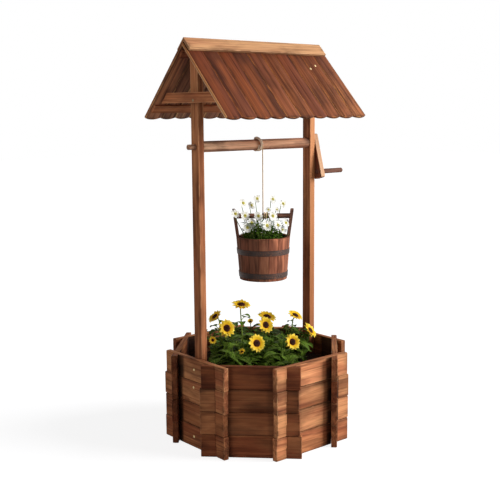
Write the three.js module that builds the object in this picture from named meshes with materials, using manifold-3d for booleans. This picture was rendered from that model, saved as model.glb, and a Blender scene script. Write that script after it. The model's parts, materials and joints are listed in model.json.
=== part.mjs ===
// Wishing well planter. Millimetres, +Z up, the ridge and the windlass along X,
// the crank on the +X side, the front towards -Y. The origin is the middle of the
// tub's underside, on the ground.
import * as THREE from 'three';
import { mergeVertices } from 'three/addons/utils/BufferGeometryUtils.js';
import Module from 'manifold-3d';

const wasm = await Module();
wasm.setup();

// Driving dimensions of the tub
const tubAcross = 480; // outside, across the flats of the octagon
const tubFaces = 8;
const boardThickness = 17;
const courseHeight = 66;
const courseCount = 4;
const endOverhang = 40; // how far a board runs past the outer corner
const overhangVariation = 8; // the boards aren't all cut to one length
const boardChamfer = 2;
const floorThickness = 12;

// Driving dimensions of the posts and of the roof
const postThickness = 20; // along X
const postWidth = 33; // along Y
const roofLength = 522; // along the ridge
const roofHalfSpan = 194; // from the ridge to the lowest edge of a slope
const eaveAboveTub = 679; // lowest edge of the roof above the tub's rim
const roofPitch = THREE.MathUtils.degToRad(46.6);
const roofBoards = 10; // on each slope
const roofBoardThickness = 7;
const roofBoardChamfer = 1.4;
const scallopDepth = 6;
const ridgeBoardLength = 511;
const ridgeBoardWidth = 35;
const ridgeBoardThickness = 8;
const battenWidth = 26;
const battenThickness = 8;
const battenLength = 510;
const lowerBattenRise = 34; // from the eave, along the slope
const upperBattenDrop = 20; // from the ridge, along the slope
const collarAboveEave = 42; // underside of a collar beam above the eave
const collarHeight = 28.5;
const collarThickness = 16;

// Driving dimensions of the windlass
const axleDiameter = 31;
const dowelDiameter = 15; // the axle's journals and the crank handle
const leftJournalReach = 23.5; // past the left post
const crankGap = 2.2; // between the right post and the crank arm
const crankWidth = 33;
const crankThickness = 15;
const crankAbove = 25; // arm above the axle's centre
const crankBelow = 112; // arm below the axle's centre
const crankClearance = 8.5; // between the turning arm and the collar beams
const crankCornerRadius = 6;
const crankLean = THREE.MathUtils.degToRad(-15);
const handleDrop = 91; // from the axle's centre, along the arm
const handleReach = 91; // past the arm
const rightJournalReach = 5; // past the arm
const axleEndGap = 0.7; // between the axle and each post

// Driving dimensions of the bucket
const staveCount = 16;
const bucketHeight = 126;
const bucketRimRadius = 79.3; // to the middle of an outer flat
const bucketBaseRadius = 69.5;
const staveThickness = 9;
const earRise = 81.2; // tops of the ears above the rim
const earTopRadius = 90.5;
const earWidth = 26;
const earCornerRadius = 7;
const barDiameter = 15;
const barDrop = 21.5; // the bar's centre below the tops of the ears
const barEndInset = 1.5; // the bar stops this far inside the ears' outer faces
const barBelowAxle = 208.3; // with the bucket as photographed
const bucketTwist = THREE.MathUtils.degToRad(-40);
const bucketFloorRaise = 7;
const bucketFloorThickness = 9;
const hoopThickness = 1.2;
const hoopWidth = 16;
const upperHoopHeight = 76; // the hoop's lower edge, above the bucket's underside
const lowerHoopHeight = 8;

// Driving dimensions of the rope
const ropeDiameter = 3.5;
const windingLoops = 5;
const windingGap = 2.2; // between neighbouring turns
const windingClearance = 0.4; // between the rope and the wood it goes round
const ropeX = 10; // where the rope leaves the axle
const tieLoops = 2;
const tieTopHeight = 29; // top of the tie above the bar's centre

// Fits and working values
const fitGap = 0.3; // between pieces that seat on each other
const cutOverrun = 20; // cutters run this far past what they cut
const roundSides = 24; // facets of the larger round pieces
const loopSteps = 24; // steps in one loop of rope
const windingSides = 6;
const fallSides = 8;
const tieLeadSteps = 8; // steps of the tie's straight ends
const samplesPerPoint = 4; // for the least gap
const tau = 2 * Math.PI;

// Sizes that follow from the driving dimensions
const eaveHeight = courseCount * courseHeight + eaveAboveTub;
const collarBottomHeight = eaveHeight + collarAboveEave;
const axleHeight = collarBottomHeight - crankBelow - crankClearance;
const earTopHeight = bucketHeight + earRise; // above the bucket's underside
const barHeight = earTopHeight - barDrop;
const barZ = axleHeight - barBelowAxle;
const bucketBaseHeight = barZ - barHeight;
const faceAngle = tau / tubFaces;
const tubInside = tubAcross / 2 - boardThickness; // centre to an inner face
const faceLength = tubAcross * Math.tan(faceAngle / 2);
const postOuterX = tubInside - fitGap;
const postInnerX = postOuterX - postThickness;
const postFoot = floorThickness + fitGap;
const slopeLength = roofHalfSpan / Math.cos(roofPitch);
const roofApexHeight = eaveHeight + roofHalfSpan * Math.tan(roofPitch);
const battenTop = -roofBoardThickness - fitGap; // below a slope's outer surface
const supportDepth = -battenTop + battenThickness + fitGap;
const axleRadius = axleDiameter / 2;
const dowelRadius = dowelDiameter / 2;
const dowelHoleRadius = (dowelRadius + fitGap) / Math.cos(Math.PI / roundSides);
const axleHalf = postInnerX - axleEndGap;
const crankInnerX = postOuterX + crankGap;
const crankOuterX = crankInnerX + crankThickness;
const ropeRadius = ropeDiameter / 2;
const windingRadius = axleRadius + windingClearance + ropeRadius;
const windingPitch = ropeDiameter + windingGap;
const ropeY = -windingRadius;
const barRadius = barDiameter / 2;
const staveTaper = (bucketRimRadius - bucketBaseRadius) / bucketHeight;
const earTaper = (earTopRadius - bucketRimRadius) / (earTopHeight - bucketHeight);
const barHoleRadius = (barRadius + fitGap) / Math.cos(Math.PI / roundSides);
const flatToCorner = 1 / Math.cos(Math.PI / staveCount); // of the bucket's section

// Materials
function wood(color, roughness = 0.75) {
  return new THREE.MeshStandardMaterial({ color, roughness, metalness: 0 });
}
const tubWood = wood(0x5d3521);
const floorWood = wood(0x6b4630, 0.85);
const postWood = wood(0x7a4428);
const roofWood = wood(0x743c2a);
const ridgeWood = wood(0xa96a45);
const axleWood = wood(0x8c5440);
const bucketWood = wood(0x7c4029);
const darkWood = wood(0x4a2a20);
const hoopMetal = new THREE.MeshStandardMaterial({ color: 0x3c302c, roughness: 0.6, metalness: 0.4 });
const jute = wood(0xb08a62, 0.95);

// Scene graph
const planter = new THREE.Group();
const windlass = new THREE.Group();
windlass.position.set(0, 0, axleHeight);
const bucket = new THREE.Group();
bucket.position.set(ropeX, ropeY, bucketBaseHeight);
bucket.rotation.z = bucketTwist;
const tie = new THREE.Group();
tie.position.set(ropeX, ropeY, barZ);
tie.rotation.z = bucketTwist;
planter.add(windlass, bucket, tie);

function addPart(parent, name, shape, material) {
  const geometry = shape.isBufferGeometry ? shape : toGeometry(shape);
  const mesh = new THREE.Mesh(geometry, material);
  mesh.name = name;
  parent.add(mesh);
  return mesh;
}

// Closed geometry to a solid, for cuts and joins, and back
function toSolid(geometry) {
  const bare = geometry.clone();
  bare.deleteAttribute('normal');
  bare.deleteAttribute('uv');
  const merged = mergeVertices(bare);
  return new wasm.Manifold(new wasm.Mesh({
    numProp: 3,
    vertProperties: new Float32Array(merged.attributes.position.array),
    triVerts: new Uint32Array(merged.index.array),
  }));
}

function toGeometry(solid) {
  const mesh = solid.getMesh();
  const geometry = new THREE.BufferGeometry();
  geometry.setAttribute('position', new THREE.BufferAttribute(mesh.vertProperties, 3));
  geometry.setIndex(new THREE.BufferAttribute(mesh.triVerts, 1));
  geometry.computeVertexNormals();
  return geometry;
}

function box(x0, x1, y0, y1, z0, z1) {
  const geometry = new THREE.BoxGeometry(x1 - x0, y1 - y0, z1 - z0);
  return geometry.translate((x0 + x1) / 2, (y0 + y1) / 2, (z0 + z1) / 2);
}

// An outline drawn in Y and Z, extruded along X from x0 to x1
const alongX = new THREE.Matrix4().makeBasis(
  new THREE.Vector3(0, 1, 0), new THREE.Vector3(0, 0, 1), new THREE.Vector3(1, 0, 0));

function extrudeAlongX(shape, x0, x1, curveSegments = roundSides / 2) {
  const options = { depth: x1 - x0, bevelEnabled: false, curveSegments };
  return new THREE.ExtrudeGeometry(shape, options).applyMatrix4(alongX).translate(x0, 0, 0);
}

function cylinderAlongX(radius, x0, x1, y = 0, z = 0) {
  const geometry = new THREE.CylinderGeometry(radius, radius, x1 - x0, roundSides);
  return geometry.rotateZ(Math.PI / 2).translate((x0 + x1) / 2, y, z);
}

function outline(points) {
  return new THREE.Shape(points.map(([u, v]) => new THREE.Vector2(u, v)));
}

function roundHole(shape, u, v, radius) {
  shape.holes.push(new THREE.Path().absarc(u, v, radius, 0, tau, true));
}

function roundedRectangle(u0, u1, v0, v1, radius) {
  const quarter = Math.PI / 2;
  const shape = new THREE.Shape();
  shape.absarc(u1 - radius, v0 + radius, radius, -quarter, 0);
  shape.absarc(u1 - radius, v1 - radius, radius, 0, quarter);
  shape.absarc(u0 + radius, v1 - radius, radius, quarter, 2 * quarter);
  shape.absarc(u0 + radius, v0 + radius, radius, 2 * quarter, 3 * quarter);
  return shape;
}

// Tub: eight walls of half lapped boards whose ends cross at the corners
const faceNames = ['right', 'back_right', 'back', 'back_left',
  'left', 'front_left', 'front', 'front_right'];

// How much longer each course is at a wall's two ends, from the lowest course up,
// as shares of the variation. Every fourth wall has the same lengths.
const overhangShares = [
  [[0.6, 0.3, 0.6, -0.5], [-0.45, -0.9, -0.45, -0.25]],
  [[0.35, 0.55, 0.55, 0], [0.25, -0.4, -0.75, -0.15]],
  [[-0.25, -0.75, -0.6, -0.4], [0.6, 0.75, 0.9, 0.25]],
  [[0.6, 0.7, 0.4, 1], [-0.2, 0.4, -0.3, 0]],
];

function boardOverhang(face, course, end) {
  const share = overhangShares[face % overhangShares.length][end][course];
  return endOverhang + overhangVariation * share;
}

// The space of a neighbouring wall, as the lapped board has to clear it
function lapCutter(end, z0, z1) {
  const reach = faceLength + endOverhang;
  const cutter = box(tubInside - fitGap, tubAcross / 2 + fitGap, -reach, reach, z0, z1);
  return toSolid(cutter.rotateZ(end * faceAngle));
}

function tubBoard(face, course) {
  const low = course * courseHeight;
  const high = low + courseHeight - fitGap;
  const outer = tubAcross / 2;
  const section = outline([
    [tubInside, low], [outer - boardChamfer, low], [outer, low + boardChamfer],
    [outer, high - boardChamfer], [outer - boardChamfer, high], [tubInside, high],
  ]);
  const start = -faceLength / 2 - boardOverhang(face, course, 0);
  const finish = faceLength / 2 + boardOverhang(face, course, 1);
  const options = { depth: finish - start, bevelEnabled: false };
  const geometry = new THREE.ExtrudeGeometry(section, options);
  geometry.rotateX(Math.PI / 2).translate(0, finish, 0);
  let board = toSolid(geometry);
  const middle = (low + high) / 2;
  const overLap = face % 2 === 0; // these boards lap over their neighbours
  const lapLow = overLap ? low - cutOverrun : middle - fitGap / 2;
  const lapHigh = overLap ? middle + fitGap / 2 : high + cutOverrun;
  for (const end of [-1, 1]) {
    board = board.subtract(lapCutter(end, lapLow, lapHigh));
  }
  return board;
}

function buildTub() {
  faceNames.forEach((faceName, face) => {
    const wall = new THREE.Group();
    wall.rotation.z = face * faceAngle;
    planter.add(wall);
    for (let course = 0; course < courseCount; course += 1) {
      addPart(wall, `tub_board_${faceName}_${course + 1}`, tubBoard(face, course), tubWood);
    }
  });
}

// The floor fills the lowest course, inside the walls
function buildFloor() {
  const corner = (tubInside - fitGap) / Math.cos(faceAngle / 2);
  const geometry = new THREE.CylinderGeometry(corner, corner, floorThickness, tubFaces);
  geometry.rotateX(Math.PI / 2).rotateZ(faceAngle / 2).translate(0, 0, floorThickness / 2);
  addPart(planter, 'tub_floor', geometry, floorWood);
}

// Height of the surface, parallel to the slopes, that carries the battens
function supportHeight(y) {
  return roofApexHeight - supportDepth / Math.cos(roofPitch) - Math.abs(y) * Math.tan(roofPitch);
}

// Posts with a gabled top under the upper battens and a bore for the axle's journal
function buildPosts() {
  const half = postWidth / 2;
  for (const [side, name] of [[-1, 'post_left'], [1, 'post_right']]) {
    const shape = outline([
      [-half, postFoot], [half, postFoot], [half, supportHeight(half)],
      [0, supportHeight(0)], [-half, supportHeight(half)],
    ]);
    roundHole(shape, 0, axleHeight, dowelHoleRadius);
    const edges = [side * postInnerX, side * postOuterX].sort((a, b) => a - b);
    addPart(planter, name, extrudeAlongX(shape, ...edges), postWood);
  }
}

// Collar beams across the outer faces of the posts, their ends under the lower battens
function buildCollars() {
  const low = collarBottomHeight;
  const high = low + collarHeight;
  const reach = (z) => (supportHeight(0) - z) / Math.tan(roofPitch);
  const inner = postOuterX + fitGap;
  const outer = inner + collarThickness;
  const shape = outline([
    [-reach(low), low], [reach(low), low], [reach(high), high], [-reach(high), high]]);
  addPart(planter, 'collar_beam_left', extrudeAlongX(shape, -outer, -inner), postWood);
  addPart(planter, 'collar_beam_right', extrudeAlongX(shape, inner, outer), postWood);
}

// One roof board in the plane of its slope: the ridge at zero, the eave at
// side times the slope's length, the outer surface at zero height
function roofBoard(index, side) {
  const pitch = roofLength / roofBoards;
  const left = -roofLength / 2 + index * pitch;
  const right = left + pitch;
  const radius = (pitch * pitch / 4 + scallopDepth * scallopDepth) / (2 * scallopDepth);
  const spread = Math.asin(pitch / 2 / radius);
  const middle = -slopeLength + radius; // centre of the rounded end
  const shape = new THREE.Shape();
  shape.moveTo(right, roofBoardThickness);
  shape.lineTo(left, roofBoardThickness);
  shape.absarc((left + right) / 2, middle, radius,
    -Math.PI / 2 - spread, -Math.PI / 2 + spread);
  const geometry = new THREE.ExtrudeGeometry(shape, {
    depth: roofBoardThickness - 2 * roofBoardChamfer,
    bevelThickness: roofBoardChamfer,
    bevelSize: roofBoardChamfer,
    bevelOffset: -roofBoardChamfer + fitGap / 4, // so that neighbours join
    bevelSegments: 1,
    curveSegments: 8,
  });
  geometry.translate(0, 0, roofBoardChamfer - roofBoardThickness);
  if (side > 0) geometry.rotateZ(Math.PI);
  return toSolid(geometry);
}

// Whatever a slope's pieces have beyond the upright plane through the ridge
function ridgeCutter(side) {
  const reach = roofLength / 2 + cutOverrun;
  const depth = ridgeBoardWidth + cutOverrun;
  const sides = side < 0 ? [-fitGap / 2, depth] : [-depth, fitGap / 2];
  const cutter = box(-reach, reach, ...sides, -depth, depth);
  return toSolid(cutter.rotateX(side * roofPitch));
}

function slopeGroup(side) {
  const group = new THREE.Group();
  group.position.z = roofApexHeight;
  group.rotation.x = -side * roofPitch;
  planter.add(group);
  return group;
}

function flatOnSlope(side, length, from, to, low, high) {
  const edges = [side * from, side * to].sort((a, b) => a - b);
  return box(-length / 2, length / 2, ...edges, low, high);
}

function buildSlope(side, name) {
  const group = slopeGroup(side);
  let panel = roofBoard(0, side);
  for (let index = 1; index < roofBoards; index += 1) {
    panel = panel.add(roofBoard(index, side));
  }
  addPart(group, `roof_slope_${name}`, panel.subtract(ridgeCutter(side)), roofWood);

  const capLow = fitGap;
  const capHigh = fitGap + ridgeBoardThickness;
  const capBack = -capHigh * Math.tan(roofPitch) - fitGap; // up to the cut at the ridge
  const cap = toSolid(flatOnSlope(side, ridgeBoardLength, capBack, ridgeBoardWidth, capLow, capHigh));
  addPart(group, `ridge_board_${name}`, cap.subtract(ridgeCutter(side)), ridgeWood);

  const low = battenTop - battenThickness;
  const lowerEdge = slopeLength - lowerBattenRise;
  const lower = flatOnSlope(side, battenLength, lowerEdge - battenWidth, lowerEdge, low, battenTop);
  addPart(group, `lower_batten_${name}`, lower, postWood);
  const upper = flatOnSlope(
    side, battenLength, upperBattenDrop, upperBattenDrop + battenWidth, low, battenTop);
  addPart(group, `upper_batten_${name}`, upper, postWood);
}

// Windlass: the turned axle with its journals, the crank arm and its handle
function buildWindlass() {
  const profile = [
    [0, -postOuterX - leftJournalReach], [dowelRadius, -postOuterX - leftJournalReach],
    [dowelRadius, -axleHalf], [axleRadius, -axleHalf],
    [axleRadius, axleHalf], [dowelRadius, axleHalf],
    [dowelRadius, crankOuterX + rightJournalReach], [0, crankOuterX + rightJournalReach],
  ].map(([radius, x]) => new THREE.Vector2(radius, x));
  const axle = new THREE.LatheGeometry(profile, roundSides).rotateZ(-Math.PI / 2);
  addPart(windlass, 'axle', axle, axleWood);

  const crank = new THREE.Group();
  crank.rotation.x = crankLean;
  windlass.add(crank);
  const shape = roundedRectangle(
    -crankWidth / 2, crankWidth / 2, -crankBelow, crankAbove, crankCornerRadius);
  roundHole(shape, 0, 0, dowelHoleRadius);
  roundHole(shape, 0, -handleDrop, dowelHoleRadius);
  addPart(crank, 'crank_arm', extrudeAlongX(shape, crankInnerX, crankOuterX), postWood);
  const handle = cylinderAlongX(
    dowelRadius, crankInnerX, crankOuterX + handleReach, 0, -handleDrop);
  addPart(crank, 'crank_handle', handle, axleWood);
}

// Bucket: sixteen tapering flats, two of them ear staves that carry the bar.
// Radii are to the middle of a flat, and the ears' flats face along the bar.
function bucketRadius(z) {
  const aboveRim = Math.max(z - bucketHeight, 0);
  return bucketBaseRadius + staveTaper * (z - aboveRim) + earTaper * aboveRim;
}

function bucketRing(points) {
  const profile = points.map(([radius, z]) => new THREE.Vector2(radius * flatToCorner, z));
  const geometry = new THREE.LatheGeometry([...profile, profile[0]], staveCount);
  return geometry.rotateX(Math.PI / 2).rotateZ(Math.PI / staveCount);
}

function buildStaves() {
  const ring = bucketRing([
    [bucketRadius(0), 0], [bucketRadius(bucketHeight), bucketHeight],
    [bucketRadius(bucketHeight) - staveThickness, bucketHeight],
    [bucketRadius(0) - staveThickness, 0],
  ]);
  const slot = earWidth / 2 + fitGap;
  const reach = bucketRimRadius + cutOverrun;
  const low = -cutOverrun;
  const high = bucketHeight + cutOverrun;
  for (const [side, name] of [[-1, 'front'], [1, 'back']]) {
    const edges = [-side * reach, side * slot].sort((a, b) => a - b);
    const beyond = toSolid(box(-reach, reach, ...edges, low, high));
    addPart(bucket, `bucket_staves_${name}`, toSolid(ring).subtract(beyond), bucketWood);
  }
}

function earStave(side) {
  const half = earWidth / 2;
  const heights = [0, bucketHeight, earTopHeight];
  const outer = heights.map((z) => [side * bucketRadius(z), z]);
  const inner = heights.map((z) => [side * (bucketRadius(z) - staveThickness), z]).reverse();
  const profile = outline([...outer, ...inner]);
  const blank = new THREE.ExtrudeGeometry(profile, { depth: earWidth, bevelEnabled: false });
  blank.rotateX(Math.PI / 2).translate(0, half, 0);
  const front = roundedRectangle(
    -half, half, -earCornerRadius, earTopHeight, earCornerRadius);
  roundHole(front, 0, barHeight, barHoleRadius);
  const reach = side * (earTopRadius + cutOverrun);
  const edges = [0, reach].sort((a, b) => a - b);
  return toSolid(blank).intersect(toSolid(extrudeAlongX(front, ...edges)));
}

function buildBucket() {
  buildStaves();
  addPart(bucket, 'ear_stave_left', earStave(-1), darkWood);
  addPart(bucket, 'ear_stave_right', earStave(1), darkWood);

  const barHalf = bucketRadius(barHeight) - barEndInset;
  addPart(bucket, 'bucket_bar',
    cylinderAlongX(barRadius, -barHalf, barHalf, 0, barHeight), darkWood);

  const floorTop = bucketFloorRaise + bucketFloorThickness;
  const floorRadius = (z) => bucketRadius(z) - staveThickness - fitGap;
  const floorProfile = [
    [0, bucketFloorRaise], [floorRadius(bucketFloorRaise) * flatToCorner, bucketFloorRaise],
    [floorRadius(bucketFloorRaise) * flatToCorner, floorTop], [0, floorTop],
  ].map(([radius, z]) => new THREE.Vector2(radius, z));
  const floor = new THREE.LatheGeometry(floorProfile, staveCount);
  floor.rotateX(Math.PI / 2).rotateZ(Math.PI / staveCount);
  addPart(bucket, 'bucket_floor', floor, darkWood);

  for (const [name, z] of [['upper', upperHoopHeight], ['lower', lowerHoopHeight]]) {
    const top = z + hoopWidth;
    const hoop = bucketRing([
      [bucketRadius(z) + fitGap, z], [bucketRadius(z) + fitGap + hoopThickness, z],
      [bucketRadius(top) + fitGap + hoopThickness, top], [bucketRadius(top) + fitGap, top],
    ]);
    addPart(bucket, `bucket_hoop_${name}`, hoop, hoopMetal);
  }
}

// A rope along a smooth curve through its points
function ropeTube(points, sides, steps) {
  const section = outline(Array.from({ length: sides }, (_, i) => {
    const angle = tau * i / sides;
    return [ropeRadius * Math.cos(angle), ropeRadius * Math.sin(angle)];
  }));
  const extrudePath = new THREE.CatmullRomCurve3(points, false, 'centripetal');
  return new THREE.ExtrudeGeometry(section, { steps, extrudePath });
}

// Least gap of a wound rope to itself, on points along its middle
function leastGap(points) {
  const curve = new THREE.CatmullRomCurve3(points, false, 'centripetal');
  const samples = curve.getSpacedPoints(points.length * samplesPerPoint);
  const spacing = curve.getLength() / (samples.length - 1);
  const skip = Math.ceil(Math.PI * ropeDiameter / spacing);
  let least = Infinity;
  for (let i = 0; i < samples.length; i += 1) {
    for (let j = i + skip; j < samples.length; j += 1) {
      least = Math.min(least, samples[i].distanceTo(samples[j]));
    }
  }
  return least - ropeDiameter;
}

// Turns round the X axis. The rope ends at the front, heading straight down, at
// the given place along the axis, after coming round from a straight free end.
function windingPoints(radius, loops, lastX) {
  const count = Math.round(loops * loopSteps);
  const points = [];
  for (let i = 0; i <= count; i += 1) {
    const back = (count - i) / loopSteps; // loops still to go
    const angle = Math.PI - tau * back;
    points.push(new THREE.Vector3(
      lastX - windingPitch * back, radius * Math.cos(angle), radius * Math.sin(angle)));
  }
  return points;
}

// The straight run of one diameter at each end of a wound rope
function withStraightEnds(points) {
  const first = points[0].clone().sub(points[1]).setLength(ropeDiameter).add(points[0]);
  const last = points[points.length - 1].clone();
  last.z -= ropeDiameter;
  return [first, ...points, last];
}

function buildRope() {
  const windings = withStraightEnds(windingPoints(windingRadius, windingLoops, ropeX));
  addPart(windlass, 'rope_windings',
    ropeTube(windings, windingSides, windingLoops * loopSteps + 2), jute);
  console.log('rope windings, least gap to itself in mm:', leastGap(windings).toFixed(2));

  const tiePoints = tieRoute();
  const tieSteps = Math.round(tieLoops * loopSteps) + tieLeadSteps;
  addPart(tie, 'rope_tie', ropeTube(tiePoints, windingSides, tieSteps), jute);
  console.log('rope tie, least gap to itself in mm:', leastGap(tiePoints).toFixed(2));

  const top = axleHeight - ropeDiameter - fitGap;
  const bottom = barZ + tieTopHeight + fitGap;
  const fall = new THREE.CylinderGeometry(ropeRadius, ropeRadius, top - bottom, fallSides);
  fall.rotateX(Math.PI / 2).translate(ropeX, ropeY, (top + bottom) / 2);
  addPart(planter, 'rope_fall', fall, jute);
}

// The tie comes down above the bar, leans out to meet the circle round the bar
// at its tangent, and goes round it to a free end
function tieRoute() {
  const radius = barRadius + windingClearance + ropeRadius;
  const straightEnd = tieTopHeight - ropeDiameter;
  const touch = Math.asin(radius / (straightEnd - ropeRadius));
  const points = [
    new THREE.Vector3(0, 0, tieTopHeight),
    new THREE.Vector3(0, 0, straightEnd),
  ];
  const count = Math.round(tieLoops * loopSteps);
  for (let i = 0; i <= count; i += 1) {
    const angle = touch - tau * i / loopSteps;
    const x = windingPitch * i / loopSteps;
    points.push(new THREE.Vector3(x, radius * Math.cos(angle), radius * Math.sin(angle)));
  }
  const last = points[points.length - 1];
  const before = points[points.length - 2];
  points.push(last.clone().sub(before).setLength(ropeDiameter).add(last));
  return points;
}

buildTub();
buildFloor();
buildPosts();
buildCollars();
buildSlope(-1, 'front');
buildSlope(1, 'back');
buildWindlass();
buildBucket();
buildRope();

export default planter;
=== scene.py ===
# Wishing well planter: its looks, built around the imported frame. Metres, +Z up,
# the ridge and the axle along X, the crank on the +X side, the front towards -Y.
import json
import random
from math import asin, atan, atan2, cos, exp, hypot, pi, radians, sin, sqrt, tan, tau

import bpy
import numpy as np
from mathutils import Matrix, Vector


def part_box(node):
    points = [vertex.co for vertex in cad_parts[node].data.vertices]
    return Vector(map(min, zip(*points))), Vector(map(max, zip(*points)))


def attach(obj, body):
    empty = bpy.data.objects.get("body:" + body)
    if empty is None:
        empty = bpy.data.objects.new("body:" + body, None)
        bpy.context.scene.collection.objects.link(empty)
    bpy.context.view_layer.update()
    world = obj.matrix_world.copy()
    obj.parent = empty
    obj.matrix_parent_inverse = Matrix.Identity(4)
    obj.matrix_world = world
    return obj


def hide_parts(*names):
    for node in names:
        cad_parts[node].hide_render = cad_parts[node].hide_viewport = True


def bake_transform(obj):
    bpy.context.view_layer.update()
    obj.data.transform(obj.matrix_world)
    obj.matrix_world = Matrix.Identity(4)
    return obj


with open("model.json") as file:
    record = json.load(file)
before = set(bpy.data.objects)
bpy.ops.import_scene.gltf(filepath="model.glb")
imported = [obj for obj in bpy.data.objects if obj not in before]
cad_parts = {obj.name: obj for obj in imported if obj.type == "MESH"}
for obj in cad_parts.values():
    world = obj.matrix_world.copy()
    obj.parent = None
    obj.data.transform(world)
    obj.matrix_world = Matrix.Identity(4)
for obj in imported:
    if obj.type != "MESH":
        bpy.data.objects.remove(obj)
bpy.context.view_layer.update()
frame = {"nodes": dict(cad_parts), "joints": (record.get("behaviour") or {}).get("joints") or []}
joints = {joint["name"]: joint for joint in frame["joints"]}
dice = random.Random(11)

X, Y, Z = Vector((1, 0, 0)), Vector((0, 1, 0)), Vector((0, 0, 1))


def level(angle):
    return Vector((cos(angle), sin(angle), 0))


# Camera, fitted to the photograph
PHOTO_PIXELS = 500
FOCAL_PIXELS = 906.742
SENSOR_WIDTH = 36  # millimetres
CAMERA_AZIMUTH = radians(-40.105)
CAMERA_ELEVATION = radians(8.727)
CAMERA_ROLL = radians(-0.422)
CAMERA_DISTANCE = 2.69323
TARGET_HEIGHT = 0.55367
TARGET_SHIFT = -0.01999  # along the picture's horizontal

picture_right = level(CAMERA_AZIMUTH)
picture_depth = Vector((sin(CAMERA_AZIMUTH), -cos(CAMERA_AZIMUTH), 0))
back = picture_depth * cos(CAMERA_ELEVATION) + Z * sin(CAMERA_ELEVATION)
level_up = back.cross(picture_right)
camera_x = picture_right * cos(CAMERA_ROLL) + level_up * sin(CAMERA_ROLL)
camera_y = level_up * cos(CAMERA_ROLL) - picture_right * sin(CAMERA_ROLL)
camera_place = Z * TARGET_HEIGHT + picture_right * TARGET_SHIFT + back * CAMERA_DISTANCE


def axes_matrix(x, y, z, origin):
    matrix = Matrix((x, y, z)).transposed().to_4x4()
    matrix.translation = origin
    return matrix


def facing_axes(facing, origin):
    """Axes at a point with Z along the given direction."""
    z = facing.normalized()
    x = (Z if abs(z.z) < 0.9 else X).cross(z).normalized()
    return axes_matrix(x, z.cross(x), z, origin)


def leaf_axes(along, origin):
    """Axes at a point with X along the given direction and Y level."""
    x = along.normalized()
    y = Z.cross(x).normalized()
    return axes_matrix(x, y, x.cross(y), origin)


def add_object(name, data):
    obj = bpy.data.objects.new(name, data)
    bpy.context.scene.collection.objects.link(obj)
    return obj


def build_camera():
    data = bpy.data.cameras.new("camera")
    data.sensor_width = SENSOR_WIDTH
    data.lens = FOCAL_PIXELS / PHOTO_PIXELS * SENSOR_WIDTH
    data.clip_start, data.clip_end = 0.05, 60
    camera = add_object("camera", data)
    camera.matrix_world = axes_matrix(camera_x, camera_y, back, camera_place)
    bpy.context.scene.camera = camera


def photo_point(across, down, depth):
    """The point seen at a pixel of the photograph, at a distance towards the camera."""
    ray = (camera_x * (across - PHOTO_PIXELS / 2) - camera_y * (down - PHOTO_PIXELS / 2)
           - back * FOCAL_PIXELS)
    reach = (depth - camera_place.dot(picture_depth)) / ray.dot(picture_depth)
    return camera_place + ray * reach


# Mesh helpers
class Shape:
    """Closed parts gathered for one piece, with values kept at their points."""

    def __init__(self):
        self.points, self.faces, self.values = [], [], {}

    def add(self, points, faces, matrix=None, **values):
        points = np.asarray(points, float).reshape(-1, 3)
        if matrix is not None:
            matrix = np.array(matrix)
            points = points @ matrix[:3, :3].T + matrix[:3, 3]
        start = len(self.points)
        self.points.extend(map(tuple, points))
        self.faces.extend(tuple(start + i for i in face) for face in faces)
        for name, value in values.items():
            self.values.setdefault(name, []).append(spread(value, len(points)))


def spread(value, count):
    """The value as an array with a row for each of so many points."""
    value = np.asarray(value, float)
    if value.ndim < 2 and value.size != count:
        value = np.broadcast_to(value, (count, *value.shape))
    return value


def keep_values(mesh, values):
    for name, value in values.items():
        value = spread(value, len(mesh.vertices))
        kind, field = (("FLOAT", "value") if value.ndim == 1 else ("FLOAT_VECTOR", "vector"))
        data = mesh.attributes.new(name, kind, "POINT").data
        data.foreach_set(field, value.astype(np.float32).ravel())


def shade(mesh, angle):
    mesh.polygons.foreach_set("use_smooth", [True] * len(mesh.polygons))
    mesh.set_sharp_from_angle(angle=radians(angle))


def piece(name, shape, material, body, angle=45):
    mesh = bpy.data.meshes.new(name)
    mesh.from_pydata(shape.points, [], shape.faces)
    keep_values(mesh, {key: np.concatenate(rows) for key, rows in shape.values.items()})
    shade(mesh, angle)
    mesh.materials.append(material)
    obj = add_object(name, mesh)
    if body:
        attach(obj, body)
    return obj


def grid_faces(rows, columns, closed=False, looped=False):
    """Faces of a grid of points, row by row, joined round its columns if closed, and
    from its last row to its first if looped."""
    faces = []
    for i in range(rows if looped else rows - 1):
        row, after = i * columns, (i + 1) % rows * columns
        for j in range(columns if closed else columns - 1):
            k = (j + 1) % columns
            faces.append((row + j, row + k, after + k, after + j))
    return faces


def loft(rings):
    """A closed solid through rings of as many points each, with flat ends."""
    rings = [np.asarray(ring, float) for ring in rings]
    count = len(rings[0])
    faces = grid_faces(len(rings), count, closed=True)
    faces.append(tuple(reversed(range(count))))
    last = (len(rings) - 1) * count
    faces.append(tuple(range(last, last + count)))
    return np.concatenate(rings), faces


def smooth_path(points, step):
    """Equally spaced points on a smooth curve through the given ones."""
    p = np.array([tuple(point) for point in points], float)
    p = np.vstack([2 * p[0] - p[1], p, 2 * p[-1] - p[-2]])
    t = np.linspace(0, 1, 12, endpoint=False)[:, None]
    dense = [
        0.5 * (2 * b + (c - a) * t + (2 * a - 5 * b + 4 * c - d) * t ** 2
               + (3 * b - a - 3 * c + d) * t ** 3)
        for a, b, c, d in zip(p, p[1:], p[2:], p[3:])
    ]
    dense = np.vstack([*dense, p[-2:-1]])
    run = np.concatenate([[0], np.cumsum(np.linalg.norm(np.diff(dense, axis=0), axis=1))])
    spots = np.linspace(0, run[-1], max(2, round(run[-1] / step) + 1))
    return np.stack([np.interp(spots, run, dense[:, k]) for k in range(3)], axis=1)


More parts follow.
